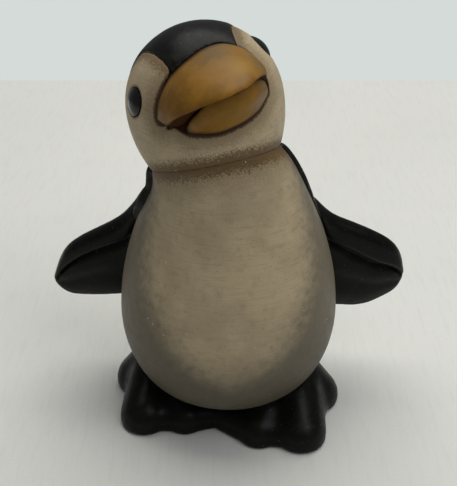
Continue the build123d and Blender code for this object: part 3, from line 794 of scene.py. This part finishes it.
def stopper_rubber(name):
    """Grey moulded rubber, a little chalky."""
    colours = bpy.context.scene.figurine_paint
    paint = Paint(name)
    chalk = paint.noise(2.0 * MM, detail=5.0)
    grain = paint.noise(0.3 * MM, detail=2.0, shift=6.0)
    base = paint.mix(paint.band(chalk, start=0.45, end=0.75), colours.rubber, colours.rubber_chalk)
    rough = paint.band(chalk, start=0.3, end=0.7, low=0.62, high=0.82)
    return paint.finish(base, rough, paint.bump(grain, depth=0.03 * MM))


def pad_felt(name):
    """Dark green-grey felt with crossed fibres."""
    colours = bpy.context.scene.figurine_paint
    paint = Paint(name)
    first = paint.noise(0.35 * MM, stretch=(4.0, 0.6, 1.0), detail=4.0)
    second = paint.noise(0.35 * MM, stretch=(0.6, 4.0, 1.0), detail=4.0, shift=8.0)
    fibre = paint.blend(first, second, first_share=0.5)
    base = paint.mix(paint.band(fibre, start=0.38, end=0.62), colours.felt, colours.felt_fibre)
    return paint.finish(base, roughness=0.95, normal=paint.bump(fibre, depth=0.12 * MM), Sheen_Weight=0.4)


def floor_cloth(settings):
    """Pale cloth with a fine weave, and painted shade of faint folds."""
    cloth = Paint("floor_cloth")
    wide = cloth.noise(220 * MM)
    weave = cloth.noise(1.1 * MM, detail=2.0)
    base = cloth.mix(cloth.band(wide, start=0.3, end=0.7), settings.floor, scaled(settings.floor, 0.94))
    base = cloth.mix(cloth.band(weave, start=0.4, end=0.7, high=0.06), base, settings.weave)
    # Painted shade of faint folds, as darker streaks
    fold_shade = cloth.noise(18 * MM, stretch=(0.12, 1.0, 1.0), detail=3.0, shift=2.0)
    base = cloth.mix(cloth.band(fold_shade, start=0.45, end=0.75, high=0.16), base, settings.fold_shade)
    relief = cloth.bump(weave, depth=0.05 * MM)
    return cloth.finish(base, roughness=0.9, normal=relief, Specular_IOR_Level=0.2)


# Stage

def add_floor(settings):
    """The floor, one flat sheet under the figurine."""
    reach = settings.floor_reach
    work = bmesh.new()
    corners = ((-reach, -reach), (reach, -reach), (reach, settings.floor_end), (-reach, settings.floor_end))
    work.faces.new([work.verts.new((x, y, 0.0)) for x, y in corners])
    mesh = bpy.data.meshes.new("floor")
    work.to_mesh(mesh)
    work.free()
    mesh.materials.append(floor_cloth(settings))
    floor = bpy.data.objects.new("floor", mesh)
    bpy.context.scene.collection.objects.link(floor)


def room_light(settings):
    """A dim even light, with a paler room seen behind the floor."""
    world = bpy.data.worlds.new("room")
    world.use_nodes = True
    tree = world.node_tree
    light = tree.nodes["Background"]
    light.inputs["Color"].default_value = (*settings.room, 1.0)
    light.inputs["Strength"].default_value = settings.ambient
    wall = tree.nodes.new("ShaderNodeBackground")
    wall.inputs["Color"].default_value = (*settings.wall, 1.0)
    path = tree.nodes.new("ShaderNodeLightPath")
    blend = tree.nodes.new("ShaderNodeMixShader")
    tree.links.new(path.outputs["Is Camera Ray"], blend.inputs["Fac"])
    tree.links.new(light.outputs[0], blend.inputs[1])
    tree.links.new(wall.outputs[0], blend.inputs[2])
    tree.links.new(blend.outputs[0], tree.nodes["World Output"].inputs["Surface"])
    return world


def add_lamp(name, place, target, size, tint, watts):
    """A rectangular lamp that faces its target."""
    light = bpy.data.lights.new(name, "AREA")
    light.shape = "RECTANGLE"
    light.size, light.size_y = size
    light.energy = watts
    light.color = tint
    lamp = bpy.data.objects.new(name, light)
    lamp.location = place
    lamp.rotation_euler = (Vector(target) - Vector(place)).to_track_quat("-Z", "Y").to_euler()
    bpy.context.scene.collection.objects.link(lamp)


def add_camera(settings):
    """The camera, at the photograph's viewing angle."""
    camera = bpy.data.cameras.new("camera")
    camera.sensor_width = SENSOR_WIDTH
    camera.lens = settings.camera_lens
    camera.clip_start = NEAREST_SEEN
    view = bpy.data.objects.new("camera", camera)
    view.location = settings.camera_place
    view.rotation_euler = (math.pi / 2 - settings.camera_fall, 0.0, 0.0)
    bpy.context.scene.collection.objects.link(view)
    bpy.context.scene.camera = view


# Carving

def beak_places(grid):
    """How far each point lies across the beak and up it, from its half's middle, in millimetres."""
    places = []
    for direction in beak_directions():
        place = grid.points @ direction
        places.append(place - (place.min() + place.max()) / 2)
    return places


def upper_beak_shading(across, level, lips, seam_shade):
    """Shares of painted sheen, painted highlight and painted shade on the upper half."""
    # Painted sheen along the ridge and at the right end, and a painted highlight
    ridge = hump(across, middle=6.0, reach=9.5, top=0.85) * hump(level, middle=8.0, reach=5.0)
    end = hump(across, middle=15.0, reach=3.0, top=0.9) * hump(level, middle=-2.8, reach=4.0)
    light = hump(across, middle=7.5, reach=6.5) * hump(level, middle=-2.0, reach=3.0)
    # Painted shade along the lips and on the left side
    lip_shade = 0.75 * (1 - fade(lips, start=1.0, end=3.0))
    corner_shade = hump(across, middle=-15.0, reach=9.0, top=0.45)
    return np.maximum(ridge, end), light, np.maximum.reduce((seam_shade, lip_shade, corner_shade))


def lower_beak_shading(across, level, lips, seam_shade):
    """Shares of painted sheen, painted highlight and painted shade on the lower half."""
    # Painted sheen towards the right end, and a painted highlight in the middle away from the lips
    tan = 0.75 * fade(across, start=5.0, end=14.0)
    light = hump(across, middle=-2.0, reach=8.0, top=0.35) * fade(lips, start=1.0, end=5.0)
    return tan, light, seam_shade


def carve_wing(grid, hold):
    """Deepens the crease behind the wing's leading roll."""
    crease = np.clip(grid.soften(grid.bend(rounds=24), rounds=4), CREASE_LOW, CREASE_HIGH)
    grid.points = grid.points + (CREASE_GAIN * (1 - hold) * crease)[:, None] * grid.normals()
    grid.smooth(rounds=2, hold=hold)


def tuck_wing(grid, tuck):
    """Moves the right wing's upper root closer to the body, in millimetres."""
    out = -grid.points[:, 0]
    z = grid.points[:, 2]
    grid.points[:, 0] += tuck * (1 - fade(out, start=30, end=44)) * fade(z, start=76, end=86)


def carve_coat(grid, settings, seat):
    """Makes the coat's front edge stand out beside the neck, and reach round it on the right."""
    x, y, z = grid.points.T
    right = fade(-x, start=0, end=12)
    low_left = fade(x, start=0, end=12) * (1 - fade(z, start=84, end=100))
    proud = (1 + RIGHT_EDGE_GAIN * right) * settings.coat_edge / MM
    proud = proud * fade(z, start=70, end=88) * fade(seat, start=0.6, end=1.5)
    proud = proud * (1 - fade(y, start=12, end=30)) * (1 - LOW_LEFT_LOSS * low_left)
    wrap = settings.coat_wrap / MM * fade(z, start=76, end=90) * (1 - fade(y, start=4, end=16)) * right
    rise = settings.coat_rise / MM * fade(z, start=96, end=104) * right
    grid.points = grid.points + proud[:, None] * grid.normals()
    grid.points[:, 1] -= wrap
    grid.points[:, 2] += rise


# Pieces

class FIGURINE_OT_stage(bpy.types.Operator):
    """Sets up the pale floor, the soft light and the camera"""

    bl_idname = "figurine.stage"
    bl_label = "Stage"

    def execute(self, context):
        settings = context.scene.figurine_stage
        add_floor(settings)
        context.scene.world = room_light(settings)
        for name, place, target, size, tint in LAMPS:
            add_lamp(name, place, target, size, tint, getattr(settings, name))
        add_camera(settings)
        context.scene.view_settings.view_transform = "Standard"
        context.scene.view_settings.look = "None"
        return {"FINISHED"}


class FIGURINE_OT_body(bpy.types.Operator):
    """Makes the cream body with its shaded flanks"""

    bl_idname = "figurine.body"
    bl_label = "Body"

    def execute(self, context):
        settings = context.scene.figurine_body
        grid = Grid(regrid(closed_copy("body_shell", hollow=True), settings.body_step))
        grid.smooth(rounds=6)
        head = grid.distance(surface_of("head_shell"), limit=16.0)
        rise = (1 - fade(head, start=0.2, end=1.8)) * settings.neck_tuck / MM
        grid.points = grid.points + rise[:, None] * NECK_AXIS
        wing = grid.distance(surface_of("left_wing", "right_wing"), limit=SEAM_REACH)
        coat = grid.distance(surface_of("back_coat"), limit=SEAM_REACH)
        feet = grid.distance(surface_of("feet_base"), limit=SEAM_REACH)
        grid.record("from_head", head)
        grid.record("from_wing", wing)
        grid.record("from_coat", coat)
        grid.record("from_feet", feet)
        x, y, z = grid.points.T
        # The turn from the front places the flanks' grey paint and painted shade
        turn = np.degrees(np.arctan2(np.abs(x), BODY_MIDDLE_Y - y))
        side = turn - np.interp(z, SHADE_HEIGHTS, SHADE_TURNS)
        grid.record("side", np.clip(side, -SHADE_RANGE, SHADE_RANGE))
        free = fade(np.minimum.reduce((head, wing, coat, feet)), start=0.8, end=4.0)
        grid.record("free", free * fade(z, start=9.5, end=14.0))
        worked_piece(grid, "body", "body_shell", cream_paint("body_cream", is_body=True))
        return {"FINISHED"}


class FIGURINE_OT_head(bpy.types.Operator):
    """Makes the cream head with its washed seams"""

    bl_idname = "figurine.head"
    bl_label = "Head"

    def execute(self, context):
        settings = context.scene.figurine_body
        grid = Grid(regrid(closed_copy("head_shell", hollow=True), settings.head_step))
        grid.smooth(rounds=5)
        grid.record("from_body", grid.distance(surface_of("body_shell", "back_coat"), limit=8.0))
        rise = corner_rise(grid.points)
        grid.points = grid.points - rise
        beak = grid.distance(surface_of("upper_beak", "lower_beak"), limit=12.0)
        above = grid.distance(surface_of("upper_beak"), limit=9.0)
        below = grid.distance(surface_of("lower_beak"), limit=9.0)
        grid.points = grid.points + rise
        cap = grid.distance(surface_of("crown_cap"), limit=SEAM_REACH)
        eye = grid.distance(surface_of("left_eye", "right_eye"), limit=5.0)
        grid.record("from_beak", beak)
        grid.record("from_cap", cap)
        grid.record("from_eye", eye)
        # The head's surface between the beak's halves, for dark paint that is partly painted shade
        grid.record("mouth", 1 - fade(above + below, start=4.0, end=5.6))
        grid.record("free", fade(np.minimum.reduce((beak, cap, eye)), start=0.8, end=3.5))
        worked_piece(grid, "head", "head_shell", cream_paint("head_cream", is_body=False))
        return {"FINISHED"}


class FIGURINE_OT_black(bpy.types.Operator):
    """Makes the black coat, cap, wings, feet and tail"""

    bl_idname = "figurine.black"
    bl_label = "Black pieces"

    def execute(self, context):
        settings = context.scene.figurine_body
        black = black_paint("satin_black")
        # Each piece's name, node, grid step, rounds of smoothing, seats, and reach of the seats' hold
        pieces = (
            ("coat", "back_coat", settings.body_step, 5, ("body_shell",), 2.8),
            ("cap", "crown_cap", settings.head_step, 5, ("head_shell",), 2.6),
            ("wing_left", "left_wing", settings.wing_step, 4, ("body_shell", "back_coat"), 1.6),
            ("wing_right", "right_wing", settings.wing_step, 4, ("body_shell", "back_coat"), 1.6),
            ("tail_stub", "tail", settings.wing_step, 10, ("back_coat",), 1.6),
            ("feet", "feet_base", settings.feet_step, 34, ("body_shell", "back_coat"), 2.2),
        )
        for name, node, step, rounds, seats, reach in pieces:
            grid = Grid(regrid(closed_copy(node), step))
            grid.smooth(rounds=3)
            seat = grid.distance(surface_of(*seats), limit=SEAM_REACH)
            hold = 1 - fade(seat, start=0.4, end=reach)
            free = fade(seat, start=1.0, end=3.5)
            if node == "feet_base":
                hold = np.maximum(hold, 1 - fade(grid.points[:, 2], start=0.7, end=3.0))
            grid.smooth(rounds, hold=hold)
            if node == "feet_base":
                grid.fill(rounds=50, hold=hold)
                grid.smooth(rounds=5, hold=hold)
                free = free * fade(grid.points[:, 2], start=0.8, end=4.0)
            if node == "right_wing":
                tuck_wing(grid, settings.wing_tuck / MM)
            if node in ("left_wing", "right_wing"):
                carve_wing(grid, hold)
            if node in ("back_coat", "crown_cap"):
                free = fade(seat, start=1.2, end=2.0)
            if node == "back_coat":
                carve_coat(grid, settings, seat)
            grid.record("high", grid.soften(grid.bend(rounds=10), rounds=3))
            grid.record("free", free)
            worked_piece(grid, name, node, black, depth_share=1.3)
        return {"FINISHED"}


class FIGURINE_OT_beak(bpy.types.Operator):
    """Makes the two halves of the amber beak"""

    bl_idname = "figurine.beak"
    bl_label = "Beak"

    def execute(self, context):
        step = context.scene.figurine_body.beak_step
        amber = amber_paint("semi_gloss_amber")
        head = surface_of("head_shell", "crown_cap")
        up = beak_directions()[1]
        # Each half's name, node, other half, lip and shading
        halves = (
            ("beak_top", "upper_beak", "lower_beak", UPPER_LIP, upper_beak_shading),
            ("beak_bottom", "lower_beak", "upper_beak", LOWER_LIP, lower_beak_shading),
        )
        for name, node, other, lip, shading in halves:
            grid = Grid(regrid(closed_copy(node), step))
            seat = grid.distance(head, limit=SEAM_REACH)
            grid.smooth(rounds=12, hold=1 - fade(seat, start=0.3, end=1.2))
            lips = grid.distance(surface_of(other), limit=10.0)
            across, level = beak_places(grid)
            # Painted shade along the seam with the head
            seam_shade = (1 - fade(seat, start=0.8, end=6.0)) * 0.8
            tan, light, dark = shading(across, level, lips, seam_shade)
            lift = np.interp(across, *lip)
            lift = lift * (1 - fade(lips, start=1.0, end=6.0)) * fade(seat, start=0.5, end=3.0)
            grid.points = grid.points + lift[:, None] * up
            hidden = up
            if node == "upper_beak":
                grid.points = grid.points + corner_rise(grid.points)
                hidden = -up
            # Faces that look into the mouth, for dark paint that is partly painted shade
            inner = fade(grid.normals() @ hidden, start=0.35, end=0.75)
            inner = inner * (1 - fade(lips, start=7.0, end=9.0))
            grid.record("from_head", seat)
            grid.record("from_lips", lips)
            grid.record("inner", grid.soften(inner, rounds=2))
            # The shares of painted sheen, painted highlight and painted shade
            grid.record("tan", tan)
            grid.record("light", light)
            grid.record("dark", dark)
            grid.record("free", fade(np.minimum(seat, lips), start=1.0, end=3.0))
            worked_piece(grid, name, node, amber)
        return {"FINISHED"}


class FIGURINE_OT_eyes(bpy.types.Operator):
    """Finishes the bead eyes"""

    bl_idname = "figurine.eyes"
    bl_label = "Eyes"

    def execute(self, context):
        bead = bead_paint("black_bead")
        painted_node("left_eye", bead)
        painted_node("right_eye", bead)
        return {"FINISHED"}


class FIGURINE_OT_fixings(bpy.types.Operator):
    """Finishes the dowels, pins, stopper and pads"""

    bl_idname = "figurine.fixings"
    bl_label = "Fixings"

    def execute(self, context):
        wood = dowel_wood("turned_dowel")
        steel = pin_steel("drawn_pin")
        painted_node("neck_dowel", wood)
        painted_node("foot_dowels", wood)
        painted_node("tail_peg", wood)
        painted_node("wing_dowels", steel)
        painted_node("base_stopper", stopper_rubber("moulded_rubber"))
        painted_node("felt_pads", pad_felt("pressed_felt"))
        return {"FINISHED"}


class FIGURINE_PT_panel(bpy.types.Panel):
    """Lists the figurine's pieces and settings"""

    bl_idname = "FIGURINE_PT_panel"
    bl_label = "Penguin figurine"
    bl_space_type = "VIEW_3D"
    bl_region_type = "UI"
    bl_category = "Figurine"

    def draw(self, context):
        for holder_name, group in setting_groups.items():
            box = self.layout.box()
            for name in group.__annotations__:
                box.prop(getattr(context.scene, holder_name), name)
        for operator in operators:
            self.layout.operator(operator.bl_idname)


setting_groups = {
    "figurine_body": FigurineBodySettings,
    "figurine_paint": FigurinePaintSettings,
    "figurine_stage": FigurineStageSettings,
}
operators = (
    FIGURINE_OT_stage,
    FIGURINE_OT_body,
    FIGURINE_OT_head,
    FIGURINE_OT_black,
    FIGURINE_OT_beak,
    FIGURINE_OT_eyes,
    FIGURINE_OT_fixings,
)


def register():
    """Adds the settings, operators and panel."""
    for name, group in setting_groups.items():
        bpy.utils.register_class(group)
        setattr(bpy.types.Scene, name, PointerProperty(type=group))
    for operator in operators:
        bpy.utils.register_class(operator)
    bpy.utils.register_class(FIGURINE_PT_panel)


def unregister():
    """Takes them away again."""
    bpy.utils.unregister_class(FIGURINE_PT_panel)
    for operator in reversed(operators):
        bpy.utils.unregister_class(operator)
    for name, group in setting_groups.items():
        delattr(bpy.types.Scene, name)
        bpy.utils.unregister_class(group)


def main():
    """Makes everything in order."""
    register()
    bpy.ops.figurine.stage()
    bpy.ops.figurine.body()
    bpy.ops.figurine.head()
    bpy.ops.figurine.black()
    bpy.ops.figurine.beak()
    bpy.ops.figurine.eyes()
    bpy.ops.figurine.fixings()


if __name__ == "__main__":
    main()
